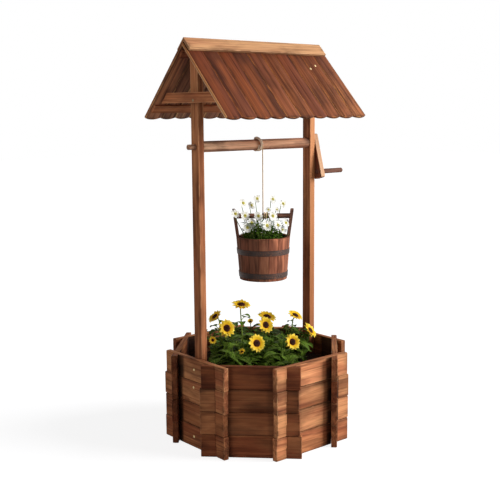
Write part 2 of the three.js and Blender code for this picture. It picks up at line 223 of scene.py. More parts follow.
def tube(path, radius, sides, section=None, lead=0.0):
    """A closed tube along a path. The section may be lobed, and turns once in each lead."""
    path = np.asarray(path, float)
    radii = np.broadcast_to(radius, len(path))
    tangents = np.gradient(path, axis=0)
    tangents /= np.linalg.norm(tangents, axis=1)[:, None]
    side = np.cross(tangents[0], (0.3, 0.5, 0.8))
    run, rings = 0.0, []
    angles = np.arange(sides) * tau / sides
    lobes = np.ones(sides) if section is None else section(angles)
    for i, (point, tangent) in enumerate(zip(path, tangents)):
        side = side - tangent * side.dot(tangent)
        side /= np.linalg.norm(side)
        other = np.cross(tangent, side)
        if i:
            run += np.linalg.norm(point - path[i - 1])
        turned = angles + (tau * run / lead if lead else 0)
        ring = np.outer(np.cos(turned), side) + np.outer(np.sin(turned), other)
        rings.append(point + ring * (radii[i] * lobes)[:, None])
    return loft(rings)


# Node helpers
def colour(text):
    """A colour written as six hexadecimal digits, as linear values."""
    values = [int(text[i:i + 2], 16) / 255 for i in (0, 2, 4)]
    return tuple(v / 12.92 if v < 0.04045 else ((v + 0.055) / 1.055) ** 2.4
                 for v in values) + (1,)


THIN = 0.003  # how far light passes into petals and leaves


class Tree:
    """A node tree and short ways to add nodes to it. A colour may be given as text."""

    def __init__(self, owner):
        owner.use_nodes = True
        self.tree = owner.node_tree

    def add(self, kind, inputs, out=0, **settings):
        node = self.tree.nodes.new("ShaderNode" + kind)
        for key, value in settings.items():
            setattr(node, key, value)
        for key, value in inputs.items():
            if isinstance(value, bpy.types.NodeSocket):
                self.tree.links.new(value, node.inputs[key])
            else:
                value = colour(value) if isinstance(value, str) else value
                node.inputs[key].default_value = value
        return node.outputs[out]

    def math(self, operation, *values):
        return self.add("Math", dict(enumerate(values)), operation=operation)

    def times(self, first, second):
        return self.math("MULTIPLY", first, second)

    def vector(self, operation, *values, out=0):
        return self.add("VectorMath", dict(enumerate(values)), out, operation=operation)

    def split(self, vector):
        return self.add("SeparateXYZ", {0: vector}).node.outputs

    def value(self, name, out="Vector"):
        return self.add("Attribute", {}, out, attribute_name=name)

    def noise(self, vector, scale, detail=2, out=0):
        """Noise at one scale, or at a scale for each axis."""
        if isinstance(scale, tuple):
            vector, scale = self.vector("MULTIPLY", vector, scale), 1
        return self.add("TexNoise", {"Vector": vector, "Scale": scale, "Detail": detail}, out)

    def between(self, value, low, high, start=0.0, end=1.0):
        """Runs smoothly from start to end as the value goes from low to high."""
        return self.add("MapRange", {"Value": value, "From Min": low, "From Max": high,
                                     "To Min": start, "To Max": end},
                        interpolation_type="SMOOTHSTEP")

    def mix(self, share, first, second, blend_type="MIX", clamp_result=False):
        return self.add("Mix", {0: share, 6: first, 7: second}, 2, data_type="RGBA",
                        blend_type=blend_type, clamp_result=clamp_result)

    def paint(self, base, over, value, *span):
        """One colour over another where a value is in its span."""
        return self.mix(self.between(value, *span), base, over)

    def toned(self, base, depth=(1, 1), clamp=False):
        """The colour times the tone, whose green and blue are raised to the depth."""
        tone = self.value("tone", "Fac")
        green, blue = (self.math("POWER", tone, power) for power in depth)
        tones = self.add("CombineColor", {0: tone, 1: green, 2: blue})
        return self.mix(1.0, base, tones, "MULTIPLY", clamp)


class Nodes(Tree):
    """The tree of a material with the principled shader."""

    def __init__(self, name, roughness, specular, metallic=0.0, through=0.0):
        self.material = bpy.data.materials.new(name)
        super().__init__(self.material)
        self.shader = self.tree.nodes["Principled BSDF"].inputs
        for key, value in {"Roughness": roughness, "Specular IOR Level": specular,
                           "Metallic": metallic, "Subsurface Weight": through,
                           "Subsurface Radius": (1, 1, 1), "Subsurface Scale": THIN}.items():
            self.shader[key].default_value = value

    def finish(self, base, height, strength, distance, roughness=None):
        bump = self.add("Bump", {"Height": height, "Strength": strength,
                                 "Distance": distance})
        for key, value in (("Base Color", base), ("Normal", bump), ("Roughness", roughness)):
            if value is not None:
                self.tree.links.new(value, self.shader[key])
        return self.material


# Wood. Each board carries its place in metres, along, across and through it, half its
# size, an offset that cuts it from its own log, and a tone.
RING = 0.0072  # between growth rings
NOTCH_REACH = 0.045  # from a tub board's end past its notch


def wood(name, colours, scorch=0.5, edge=0.5, rings=0.5, streaks=0.3, clouds=1.0,
         underside_light=(1, 1, 1, 1), sawn_and_lit="d18d5e", seam=0.011, depth=(1.3, 1.45)):
    """Scorched wood, by its dark, middle, light and worn colours. The lower side of a
    board is multiplied by a factor, painted light that lightens and greys the roof's
    lower side in its shade, and depth is how much more its green and blue follow the
    tone than its red does."""
    dark, mid, light, worn = colours.split()
    n = Nodes(name, 0.7, 0.12)
    place, half, offset = n.value("place"), n.value("half"), n.value("offset")
    log = n.vector("ADD", place, offset)

    # Growth rings that wander and bend round the knots
    wander = n.vector("SUBTRACT", n.noise(log, (2.4, 8, 8), out="Color"), (0.5, 0.5, 0.5))
    wander = n.vector("MULTIPLY", wander, (0, 0.03, 0.03))
    knot = n.add("TexVoronoi", {"Vector": n.vector("MULTIPLY", log, (1, 1.25, 0.5)),
                                "Scale": 3.6}, "Distance")
    bent = n.vector("MULTIPLY", n.vector("ADD", log, wander), (0, 1, 1))
    radius = n.math("ADD", n.vector("LENGTH", bent, out="Value"),
                    n.times(n.between(knot, 0.22, 0.02), 0.02))
    phase = n.math("FRACT", n.math("DIVIDE", radius, RING))
    late = n.times(n.between(phase, 0.45, 0.9), n.between(phase, 1, 0.92))
    late = n.times(late, n.between(n.noise(log, (3, 15, 15)), 0.4, 0.62, 0.2, 1))

    fibre = n.noise(log, (7, 230, 230), 4)
    streak = n.noise(log, (2.2, 95, 95), 3)
    cloud = n.noise(n.vector("ADD", log, (7, 3, 5)), (3.5, 20, 20), 4)
    base = n.paint(mid, light, cloud, 0.36, 0.66, 0, clouds)
    base = n.paint(base, dark, streak, 0.48, 0.7, 0, streaks)
    base = n.mix(n.times(late, rings), base, dark)
    base = n.paint(base, dark, fibre, 0.5, 0.7, 0, 0.4)
    base = n.paint(base, worn, fibre, 0.46, 0.28, 0, 0.3)
    char = n.mix(1.0, dark, (0.45, 0.38, 0.36, 1), "MULTIPLY")
    base = n.paint(base, char, n.noise(log, (7, 19, 19), 4), 0.46, 0.68, 0, scorch)
    base = n.paint(base, char, knot, 0.045, 0.025, 0, 0.85)

    # The nearest edge is as far as the second of the three distances to the faces
    gaps = n.split(n.vector("SUBTRACT", half, n.vector("ABSOLUTE", place)))
    total, nearest, furthest = (
        n.math(kind, n.math(kind, gaps[0], gaps[1]), gaps[2])
        for kind in ("ADD", "MINIMUM", "MAXIMUM"))
    rim = n.math("SUBTRACT", n.math("SUBTRACT", total, nearest), furthest)
    smoke = n.noise(log, (9, 40, 40), 3)
    base = n.mix(n.times(n.between(rim, seam, 0.0015, 0, scorch),
                         n.between(smoke, 0.42, 0.62)), base, char)
    ends = n.between(n.math("ABSOLUTE", gaps[0]), 0.025, 0.0, 0, 0.3)
    base = n.mix(n.times(ends, n.between(smoke, 0.4, 0.62)), base, char)
    chip = n.between(n.noise(log, (22, 60, 60)), 0.42, 0.6, 0.12, 1)
    base = n.mix(n.times(n.between(rim, 0.0038, 0.0006, 0, edge), chip), base, worn)

    # Painted shade in the corners between the tub's walls, darkest beside the notches
    soot = n.times(n.between(gaps[0], 0.041, 0.044), n.between(gaps[0], 0.095, 0.082))
    soot = n.times(soot, n.between(gaps[1], 0.0006, 0.0022, 0.15))
    base = n.mix(n.times(soot, n.value("soot", "Fac")), base, (0.006, 0.003, 0.002, 1))

    # One long edge may be painted paler, partly as cut after the scorching and partly as a painted
    # highlight where it catches the light: the one that the board's side value points to
    sides = n.split(place)
    face = n.math("SUBTRACT", n.split(half)[1], n.times(sides[1], n.value("raw", "Fac")))
    base = n.paint(base, sawn_and_lit, face, 0.0028, 0.0016, 0, 0.75)
    # Painted light on the lower side: its colour times the lower-side factor, lightening and
    # greying the roof's lower side in its shade
    lower = n.mix(1.0, base, underside_light, "MULTIPLY")
    base = n.paint(base, lower, sides[2], -0.001, -0.003)

    # Some boards are redder than others
    red = n.between(n.split(offset)[0], 0, 60)
    base = n.toned(n.mix(red, base, (1.04, 0.93, 0.9, 1), "MULTIPLY"), depth, True)
    grain = n.math("ADD", n.times(late, 0.6), fibre)
    return n.finish(base, grain, 0.5, 0.0012, n.between(streak, 0.3, 0.7, 0.6, 0.82))


TUB_WOOD = wood("tub_wood", "4e2515 a46240 d29362 e0a573", edge=0.35, streaks=0.22,
                clouds=0.8, seam=0.007)
# The roof's lower-side factor is painted light for the shade beneath it
ROOF_WOOD = wood("roof_wood", "2a130c 6d3a24 94522d b4713c", scorch=0.55, edge=0.6,
                 rings=0.3, streaks=0.55, clouds=0.8, underside_light=(1.9, 3.0, 4.6, 1),
                 sawn_and_lit="ffc486")
POST_WOOD = wood("post_wood", "62321e b36d48 d99664 e6a97a", rings=0.4, streaks=0.5,
                 clouds=0.6)
RIDGE_WOOD = wood("ridge_wood", "6f452c bf8a63 dcac7c e1b98e", rings=0.25)
ARM_WOOD = wood("arm_wood", "42231a 7c4a35 9d6549 e6a97a", scorch=0.4, rings=0.3,
                sawn_and_lit="f4cda4")
AXLE_WOOD = wood("axle_wood", "45231a d08a6a f6c098 f0bc90", scorch=0.8, edge=0.2,
                 streaks=0.7)
BUCKET_WOOD = wood("bucket_wood", "4c2a22 a56b51 cd8b64 cf9371", scorch=0.6, edge=0.1,
                   streaks=0.8, clouds=0.4, seam=0.003, depth=(1, 1))
DARK_WOOD = wood("dark_wood", "402c25 735043 9a6d5b ac7c66", edge=0.4)
FLOOR_WOOD = wood("floor_wood", "4a3223 745038 94694a 94694a", scorch=0.3)


def board_values(log, points, along, across, tone=1.0, raw=0.0, soot=(0, 0), fade=0.0,
                 ends=(1, 1)):
    """The values that a board's wood needs, from its points and two of its directions.

    Painted corner shade and the tones past the notches are given for its two ends, and
    fade brightens the end that along points to."""
    chance = random.Random(log)
    along, across = along.normalized(), across.normalized()
    axes = np.array([along, across, along.cross(across)])
    spots = np.asarray(points, float) @ axes.T
    low, high = spots.min(0), spots.max(0)
    offset = [chance.uniform(*span) for span in ((0, 60), (-0.045, 0.045), (0.03, 0.075))]
    place, half = spots - (low + high) / 2, (high - low) / 2
    share = place[:, 0] / half[0]
    tone *= chance.uniform(0.93, 1.07) * (1 + fade * share)
    past_notch = half[0] - np.abs(place[:, 0]) < NOTCH_REACH
    tone *= np.where(past_notch, np.where(share < 0, *ends), 1)
    return {"place": place, "half": half, "offset": offset, "tone": tone, "raw": raw,
            "soot": np.where(share < 0, *soot)}


def dress(name, material, along, across, tone=1.0, bevel=0.0012, angle=35, **values):
    """Gives a CAD node its wood, and eased edges by modifiers."""
    node = frame["nodes"][name]
    mesh = node.data
    if "custom_normal" in mesh.attributes:
        mesh.attributes.remove(mesh.attributes["custom_normal"])
    spots = np.array([v.co for v in mesh.vertices], float)
    keep_values(mesh, board_values(OTHER_LOGS.get(name, name), spots, along, across, tone,
                                   **values))
    mesh.materials.clear()
    mesh.materials.append(material)
    shade(mesh, angle)
    weld = node.modifiers.new("weld", "WELD")
    weld.merge_threshold = 0.00002
    ease = node.modifiers.new("ease", "BEVEL")
    ease.width, ease.segments = bevel, 2
    ease.limit_method, ease.angle_limit = "ANGLE", radians(angle)
    ease.harden_normals = True


# The rope: turns on the axle, the fall to the bucket, and the tie round its bar
ROPE_DIAMETER = 0.0035
ROPE_LEAD = 0.013  # one full turn of its three strands
ROPE_SIDES = 12
ROPE_STEP = 0.0011
ROPE_X, ROPE_Y, BAR_HEIGHT = joints["bucket_tip"]["pos_m"]
AXLE_HEIGHT = joints["crank_turn"]["pos_m"][2]
BUCKET_TURN = atan2(joints["bucket_tip"]["axis"][1], joints["bucket_tip"]["axis"][0])
WINDING_PITCH = 0.0065
TIE_PITCH = 0.0057
WINDING_LOOPS = 2
WINDING_RADIUS = -ROPE_Y
TIE_RADIUS = 0.00965
TIE_TOP = 0.029
TIE_LOOPS = 2
LOOP_STEPS = 24  # points in each turn
FIT = 0.0003  # between the fall and the ropes above and below it


def rope_section(angles):
    return 0.86 + 0.16 * np.abs(np.cos(1.5 * angles)) ** 0.7


def rope_material(name, colours):
    dark, light, blotched = colours.split()
    n = Nodes(name, 0.9, 0.1)
    twist = n.value("strand")
    fibre = n.noise(twist, (900, 5, 1), 3)
    base = n.paint(dark, light, fibre, 0.3, 0.7)
    base = n.paint(base, blotched, n.noise(twist, (60, 1, 1)), 0.4, 0.7, 0, 0.5)
    return n.finish(base, fibre, 0.3, 0.0001)


JUTE = rope_material("jute_rope", "cda473 f8e2bd dcb892")
# A paler copy of the jute for the turns on the axle: painted light against the roof's shade on them
LIT_JUTE = rope_material("jute_painted_lit", "f8cfa6 fff4e2 fcdcb8")


def add_rope(shape, points, step=ROPE_STEP):
    path = smooth_path(points, step)
    verts, faces = tube(path, ROPE_DIAMETER / 2, ROPE_SIDES, rope_section, ROPE_LEAD)
    run = np.repeat(np.arange(len(path)) * step, ROPE_SIDES)
    round_it = np.tile(np.arange(ROPE_SIDES) / ROPE_SIDES * tau, len(path))
    shape.add(verts, faces, strand=np.stack(
        [run, np.cos(round_it), np.sin(round_it)], axis=1))
    return path


def round_axle(along, radius, angle):
    return Vector((ROPE_X + along, radius * cos(angle), AXLE_HEIGHT + radius * sin(angle)))


def winding_points():
    """Turns round the axle that end at the front, heading straight down."""
    points = []
    for i in range(LOOP_STEPS * WINDING_LOOPS + 1):
        left = WINDING_LOOPS - i / LOOP_STEPS
        lean = 0.0009 * sin(2.3 * left)
        points.append(round_axle(lean - WINDING_PITCH * left, WINDING_RADIUS, pi - tau * left))
    points.append(points[-1] - Z * ROPE_DIAMETER)
    return points


def crossing_points(start, end, over):
    """A strand that slants down over the front of the turns, its ends tucked between them."""
    points = []
    for share in np.arange(LOOP_STEPS + 1) / LOOP_STEPS:
        hump = min(1, 1.8 * sin(pi * share))
        extra = over * exp(-((share - 0.5) / 0.16) ** 2)
        radius = WINDING_RADIUS + ROPE_DIAMETER * (0.96 * hump - 0.1 * (1 - hump) + extra)
        points.append(round_axle(start + (end - start) * share, radius,
                                 radians(68 + 190 * share)))
    return points


def knot_points(centre, size, axis, side):
    """An overhand knot and its two short ends."""
    normal = axis.cross(side)
    points = [centre + axis * size * 2.6 + side * size * 0.4]
    for i in range(LOOP_STEPS + 1):
        t = tau * (0.04 + 0.92 * i / LOOP_STEPS)
        flat = size * (sin(t) + 2 * sin(2 * t)) / 2.2
        tall = size * (cos(t) - 2 * cos(2 * t)) / 2.2
        points.append(centre + axis * flat + side * tall
                      - normal * size * 0.62 * sin(3 * t))
    points.append(centre - axis * size * 2.4 + side * size * 1.2)
    return points


def tie_points():
    """Straight down to the bar, then turns round it."""
    along = level(BUCKET_TURN)
    out = Z.cross(along)
    centre = Vector((ROPE_X, ROPE_Y, BAR_HEIGHT))
    straight = TIE_TOP - ROPE_DIAMETER
    touch = asin(TIE_RADIUS / (straight - ROPE_DIAMETER / 2))
    points = [centre + Z * TIE_TOP, centre + Z * straight]
    for i in range(LOOP_STEPS * TIE_LOOPS + 1):
        angle = touch - tau * i / LOOP_STEPS
        points.append(centre + along * (TIE_PITCH * i / LOOP_STEPS)
                      + out * (TIE_RADIUS * cos(angle))
                      + Z * (TIE_RADIUS * sin(angle)))
    points.append(points[-1] + (points[-1] - points[-2]) * 1.5)
    return points


def build_rope():
    turns = Shape()
    add_rope(turns, winding_points())
    add_rope(turns, crossing_points(-0.0118, -0.0036, 0.0))
    add_rope(turns, crossing_points(-0.0036, -0.0125, 0.75))
    knot = Vector((ROPE_X - 0.0105, -0.001, AXLE_HEIGHT + WINDING_RADIUS + 0.0022))
    add_rope(turns, knot_points(knot, 0.0021, Vector((0.8, -0.45, 0.4)).normalized(),
                                Vector((-0.45, 0.3, 0.81)).normalized()), step=0.0008)
    windings = piece("rope_turns", turns, LIT_JUTE, "windlass", angle=60)
    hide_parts("rope_windings")

    top = AXLE_HEIGHT - ROPE_DIAMETER - FIT
    bottom = BAR_HEIGHT + TIE_TOP + FIT
    line = [Vector((ROPE_X, ROPE_Y, z)) for z in np.linspace(top, bottom, 21)]
    fall_shape = Shape()
    add_rope(fall_shape, line)
    fall = piece("rope_hanging", fall_shape, JUTE, None, angle=60)
    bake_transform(fall)
    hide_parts("rope_fall")

    loops = Shape()
    add_rope(loops, tie_points())
    tie = piece("rope_knot", loops, JUTE, "rope_end", angle=60)
    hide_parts("rope_tie")


build_camera()
build_rope()

# Wood on the CAD nodes
SIDES = ((-1, "front"), (1, "back"))
FACE_NAMES = ["right", "back_right", "back", "back_left",
              "left", "front_left", "front", "front_right"]
# Tones of the boards seen in the photograph, from the lowest course up, partly their
# own colour and partly painted light, raised on the front wall that faces the key and
# lowered on the front_left wall in its shade; tones of their two ends past the notches,
# and the painted shade in front of their two notches
COURSE_TONES_AND_LIGHT = {"front": (0.98, 1.35, 0.84, 1.85), "front_left": (0.78, 0.52, 0.46, 0.45),
                "left": (0.77, 0.68, 1.0, 1.08), "back_left": (0.6, 0.55, 0.6, 0.75),
                "front_right": (0.8, 0.75, 0.6, 1.1)}
END_TONES = {"front": ((1.3, 1.1), (0.87, 0.95), (1.5, 1.3), (0.76, 0.82)),
             "front_left": ((0.9, 1.35), (1.45, 1.25), (1.65, 1.0), (0.85, 1.3)),
             "back_left": ((1, 0.65),) * 4}
CORNER_SHADE = {"front": (0.15, 0.97), "front_left": (0.3, 0.3), "left": (0.97, 0.15)}
OTHER_LOGS = {"tub_board_front_4": "log 4"}  # boards not cut from the log of their name
ROOF_PITCH = radians(46.6)
CRANK_LEAN = radians(-15)
EAR_LEAN = atan(0.078)


def slope_axes(side):
    """Down the slope and out of it, for the front slope at side -1 and the back at 1."""
    down = Vector((0, side * cos(ROOF_PITCH), -sin(ROOF_PITCH)))
    out = Vector((0, side * sin(ROOF_PITCH), cos(ROOF_PITCH)))
    return down, out


def dress_frame():
    for face, name in enumerate(FACE_NAMES):
        tones = COURSE_TONES_AND_LIGHT.get(name, (1,) * 4)
        ends = END_TONES.get(name, ((1, 1),) * 4)
        for course in range(4):
            dress(f"tub_board_{name}_{course + 1}", TUB_WOOD, level(tau * (face + 2) / 8), Z,
                  tones[course], 0.002, soot=CORNER_SHADE.get(name, (0.9, 0.9)),
                  ends=ends[course])
    dress("tub_floor", FLOOR_WOOD, X, Y)
    # The posts' fade paints their upper ends lighter, painted light beneath the eave; the right
    # post's -Y face gets the paler cut-wood colour, partly painted highlight where the key falls on
    # it
    for side, tone, raw, fade in (("left", 0.88, 0, 0.36), ("right", 0.95, -1, 0.58)):
        dress(f"post_{side}", POST_WOOD, Z, Y, tone, 0.0015, raw=raw, fade=fade)
        dress(f"collar_beam_{side}", POST_WOOD, Y, Z, 0.95)
    for side, name in SIDES:
        down = slope_axes(side)[0]
        dress(f"lower_batten_{name}", POST_WOOD, X, down, 1.1)
        dress(f"upper_batten_{name}", POST_WOOD, X, down, 0.5)
        dress(f"ridge_board_{name}", RIDGE_WOOD, X, down)
    # The axle's fade paints its left end lighter: painted light against the roof's shadow on that
    # end
    dress("axle", AXLE_WOOD, X, Z, 1.0, 0.0008, angle=50, fade=-0.28)
    dress("crank_handle", DARK_WOOD, X, Z, 0.95, 0.0015, angle=50)
    # The arm's -Y face gets the paler cut-wood colour, partly painted highlight on the face towards
    # the key
    arm = Vector((0, -sin(CRANK_LEAN), cos(CRANK_LEAN)))
    dress("crank_arm", ARM_WOOD, arm, X.cross(arm), 0.85, 0.0015, raw=1.0, fade=-0.15)


def dress_bucket():
    along = level(BUCKET_TURN)
    tangent = Z.cross(along)
    for side, name, tone in ((-1, "left", 1.6), (1, "right", 1.25)):
        up = (Z + along * side * tan(EAR_LEAN)).normalized()
        dress(f"ear_stave_{name}", DARK_WOOD, up, tangent, tone)
    dress("bucket_bar", DARK_WOOD, along, Z, bevel=0.001, angle=50)
    dress("bucket_floor", DARK_WOOD, along, tangent)


dress_frame()
dress_bucket()

# Roof boards with rounded lower ends
ROOF_LENGTH = 0.522
ROOF_HALF_SPAN = 0.194
EAVE_HEIGHT = 0.943
ROOF_BOARDS = 10
ROOF_THICKNESS = 0.007
ROOF_EASE = 0.0013
SCALLOP = 0.006
BOARD_GAP = 0.0004
FRONT_ROOF_TONES = (0.68, 0.82, 0.76, 0.86, 1.14, 0.94, 0.95, 1.13, 1.22, 1.5)
ROOF_FADE = 0.27
SLOPE_LENGTH = ROOF_HALF_SPAN / cos(ROOF_PITCH)
APEX = Vector((0, 0, EAVE_HEIGHT + ROOF_HALF_SPAN * tan(ROOF_PITCH)))


def inset(outline, amount):
    """A convex outline, drawn anticlockwise, moved inwards."""
    p = np.asarray(outline, float)
    ahead, behind = np.roll(p, -1, axis=0) - p, p - np.roll(p, 1, axis=0)
    normals = []
    for edge in (ahead, behind):
        edge = edge / np.linalg.norm(edge, axis=1)[:, None]
        normals.append(np.stack([-edge[:, 1], edge[:, 0]], axis=1))
    middle = normals[0] + normals[1]
    middle /= np.sum(middle * normals[0], axis=1)[:, None]
    return p + middle * amount


def slab(outline, low, high, ease):
    """A plate with rounded edges over a convex outline."""
    arcs = [(ease * (1 - sin(a)), ease * (1 - cos(a))) for a in (0, pi / 4, pi / 2)]
    rings = [(amount, low + rise) for amount, rise in arcs]
    rings += [(amount, high - rise) for amount, rise in reversed(arcs)]
    return loft([np.column_stack([inset(outline, amount), np.full(len(outline), height)])
                 for amount, height in rings])


def roof_outline(width):
    radius = (width ** 2 / 4 + SCALLOP ** 2) / (2 * SCALLOP)
    sweep = asin(width / 2 / radius)
    centre = SLOPE_LENGTH - radius
    arc = [(centre + radius * cos(a), radius * sin(a))
           for a in np.linspace(-sweep, sweep, 15)]
    return [(0, -width / 2), *arc, (0, width / 2)]


def build_roof():
    pitch = ROOF_LENGTH / ROOF_BOARDS
    for side, name in SIDES:
        down, out = slope_axes(side)
        shape = Shape()
        for index in range(ROOF_BOARDS):
            width = pitch - BOARD_GAP
            verts, faces = slab(roof_outline(width), -ROOF_THICKNESS, 0, ROOF_EASE)
            mitre = 0.0002 - verts[:, 2] * tan(ROOF_PITCH)
            verts[:, 0] = np.maximum(verts[:, 0] - dice.uniform(0, 0.0012), mitre)
            middle = APEX + X * (-ROOF_LENGTH / 2 + (index + 0.5) * pitch)
            across = out.cross(down)
            lift = dice.uniform(-0.0005, 0.0003)
            matrix = axes_matrix(down, across, out, middle + out * lift)
            placed = verts @ np.array(matrix)[:3, :3].T
            tone, raw = dice.uniform(0.75, 1.3), 0
            # The first front board's outer side, on the left rake, gets the paler cut-wood colour,
            # partly painted highlight
            if side < 0:
                tone, raw = FRONT_ROOF_TONES[index], -1 if index == 0 else 0
            shape.add(verts, faces, matrix, **board_values(
                f"roof_{name}_{index}", placed, down, across, tone, raw, fade=ROOF_FADE))
        boards = piece(f"roof_boards_{name}", shape, ROOF_WOOD, "frame")
        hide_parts(f"roof_slope_{name}")


build_roof()

# Bucket: separate staves, round hoops with rivets
BUCKET_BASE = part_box("bucket_staves_front")[0].z
BUCKET_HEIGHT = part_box("bucket_staves_front")[1].z - BUCKET_BASE
BASE_RADIUS = 0.0702
RIM_RADIUS = 0.0800
STAVE_TAPER = (RIM_RADIUS - BASE_RADIUS) / BUCKET_HEIGHT
STAVE_THICKNESS = 0.009
STAVE_GAP = 0.00025  # on either side
STAVE_EASE = 0.0007
STAVES_PER_SIDE = 7
EAR_HALF_WIDTH = 0.0134
HOOPS = {"upper": 0.076, "lower": 0.008}
HOOP_WIDTH = 0.016
HOOP_THICKNESS = 0.0011
HOOP_EASE = 0.0004
HOOP_GAP = 0.0002  # between a hoop and the staves
HOOP_STEPS = 96
RIVET_ANGLES = (-52, -45)
RIVET_RADIUS, RIVET_RISE = 0.0021, 0.0013
# Tones of the front staves from the right ear round to the left, partly their own and partly
# painted light: lighter on the right where the key falls, darker to the left
FRONT_STAVE_TONES_AND_LIGHT = (1.45, 1.1, 1.45, 0.86, 0.56, 0.48, 0.46)
# Painted highlight and shade on a hoop, as its tone by the angle round the bucket from its right
# ear: lightest towards the front right, darker beyond the front
HOOP_ANGLES = (-180, -146, -119, -98, -79, -58, -29, 0, 180)
HOOP_PAINTED_LIGHT = (0.9, 0.82, 0.4, 0.9, 1.5, 1.75, 1.05, 0.9, 0.9)

bucket_matrix = Matrix.Translation((ROPE_X, ROPE_Y, BUCKET_BASE)) @ Matrix.Rotation(
    BUCKET_TURN, 4, "Z")


def bucket_radius(z):
    return BASE_RADIUS + STAVE_TAPER * z


def stave_ring(start, end, outer, inner, z, ease):
    """A stave's section between two angles, its outer corners eased."""
    turn = ease / outer
    arc = [(outer, start + turn + (end - start - 2 * turn) * share)
           for share in np.linspace(0, 1, 7)]
    corners = [(outer - ease, end), (inner, end), (inner, start), (outer - ease, start)]
    return [(radius * cos(a), radius * sin(a), z) for radius, a in arc + corners]


def build_staves():
    for side, name in SIDES:
        shape = Shape()
        for index in range(STAVES_PER_SIDE):
            top = BUCKET_HEIGHT - dice.uniform(0, 0.0008)
            proud = dice.uniform(-0.0004, 0.0002)
            rings = []
            for z, shrink in ((0, 0.0009), (0.0009, 0), (0.03, 0), (0.063, 0), (0.095, 0),
                              (top - 0.0012, 0), (top, 0.0012)):
                outer = bucket_radius(z) + proud - shrink
                inner = bucket_radius(z) - STAVE_THICKNESS + shrink
                edge = asin(EAR_HALF_WIDTH / bucket_radius(z))
                step = (pi - 2 * edge) / STAVES_PER_SIDE
                gap = STAVE_GAP / outer
                start = edge + index * step + gap
                rings.append(stave_ring(start, start + step - 2 * gap, outer, inner, z, STAVE_EASE))
            if side < 0:
                rings = [[(x, -y, z) for x, y, z in reversed(ring)] for ring in rings]
            verts, faces = loft(rings)
            middle = side * (index + 0.5) / STAVES_PER_SIDE * pi
            tone = FRONT_STAVE_TONES_AND_LIGHT[index] if side < 0 else 0.85
            shape.add(verts, faces, bucket_matrix, **board_values(
                f"stave_{name}_{index}", verts, Z, Z.cross(level(middle)), tone, fade=0.2))
        staves = piece(f"bucket_boards_{name}", shape, BUCKET_WOOD, "bucket",
                       angle=30)
        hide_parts(f"bucket_staves_{name}")


def hoop_material():
    n = Nodes("hoop_metal", 0.5, 0.4, metallic=0.55)
    spot = n.value("band")
    rust = n.noise(spot, 260, 4)
    base = n.paint("3b2e29", "5e3e30", rust, 0.45, 0.7)
    base = n.paint(base, "231e1d", n.noise(spot, (30, 30, 160), 3), 0.45, 0.7, 0, 0.7)
    return n.finish(n.toned(base), rust, 0.4, 0.0006, n.between(rust, 0.3, 0.7, 0.42, 0.7))


HOOP_METAL = hoop_material()


def rivet_head(steps=5, segments=16):
    profile = [(RIVET_RADIUS, 0)] + [(RIVET_RADIUS * cos(a), RIVET_RISE * sin(a))
                                     for a in np.linspace(0, pi / 2 * 0.97, steps)]
    return loft([[(r * cos(t), r * sin(t), z) for t in np.arange(segments) * tau / segments]
                 for r, z in profile])


def build_hoops():
    ease, thick, width = HOOP_EASE, HOOP_THICKNESS, HOOP_WIDTH
    section = [(0, ease), (0, width - ease), (ease, width), (thick - ease, width),
               (thick, width - ease), (thick, ease), (thick - ease, 0), (ease, 0)]
    for name, low in HOOPS.items():
        verts = []
        for i in range(HOOP_STEPS):
            for out, z in section:
                radius = bucket_radius(low + z) + HOOP_GAP + out
                verts.append(level(tau * i / HOOP_STEPS) * radius + Z * (low + z))
        spots = np.array(verts)
        around = np.degrees(np.arctan2(spots[:, 1], spots[:, 0]))
        shape = Shape()
        shape.add(spots, grid_faces(HOOP_STEPS, len(section), closed=True, looped=True),
                  bucket_matrix, band=spots, tone=np.interp(around, HOOP_ANGLES, HOOP_PAINTED_LIGHT))
        middle = low + width / 2
        for angle in RIVET_ANGLES:
            out = level(radians(angle))
            spot = facing_axes(out, out * (bucket_radius(middle) + thick) + Z * middle)
            verts, faces = rivet_head()
            shape.add(verts, faces, bucket_matrix @ spot, band=verts, tone=1.5)
        hoop = piece(f"hoop_{name}", shape, HOOP_METAL, "bucket", angle=40)
        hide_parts(f"bucket_hoop_{name}")


build_staves()
build_hoops()


# Screws with crossed recesses
def brass_material():
    n = Nodes("screw_brass", 0.4, 0.5, metallic=0.35)
    worn = n.noise(n.value("band"), 900, 3)
    base = n.paint("f0dca8", "cfae6c", worn, 0.4, 0.7)
    return n.finish(n.toned(base), worn, 0.3, 0.0002)


SCREW_RADIUS = 0.0038
SCREW_RISE = 0.0011
SCREW_ROOT = 0.001  # how deep its rim goes into the wood
CROSS_REACH, CROSS_WIDTH, CROSS_DEPTH = 0.0023, 0.00042, 0.0009
WALL_FACE, COLLAR_FACE = 0.240, 0.239


def screw_head(rings=9, segments=32):
    """A low dome with a cross sunk in its middle."""
    layers = []
    for i in range(rings + 1):
        radius = SCREW_RADIUS * (1 - i / rings) + 0.00006
        layers.append([])
        for j in range(segments):
            x, y, z = level(tau * j / segments) * radius
            z = SCREW_RISE * (1 - (radius / SCREW_RADIUS) ** 2) if i else -SCREW_ROOT
            if radius < CROSS_REACH and min(abs(x), abs(y)) < CROSS_WIDTH:
                z -= CROSS_DEPTH
            layers[-1].append((x, y, z))
    return loft(layers)


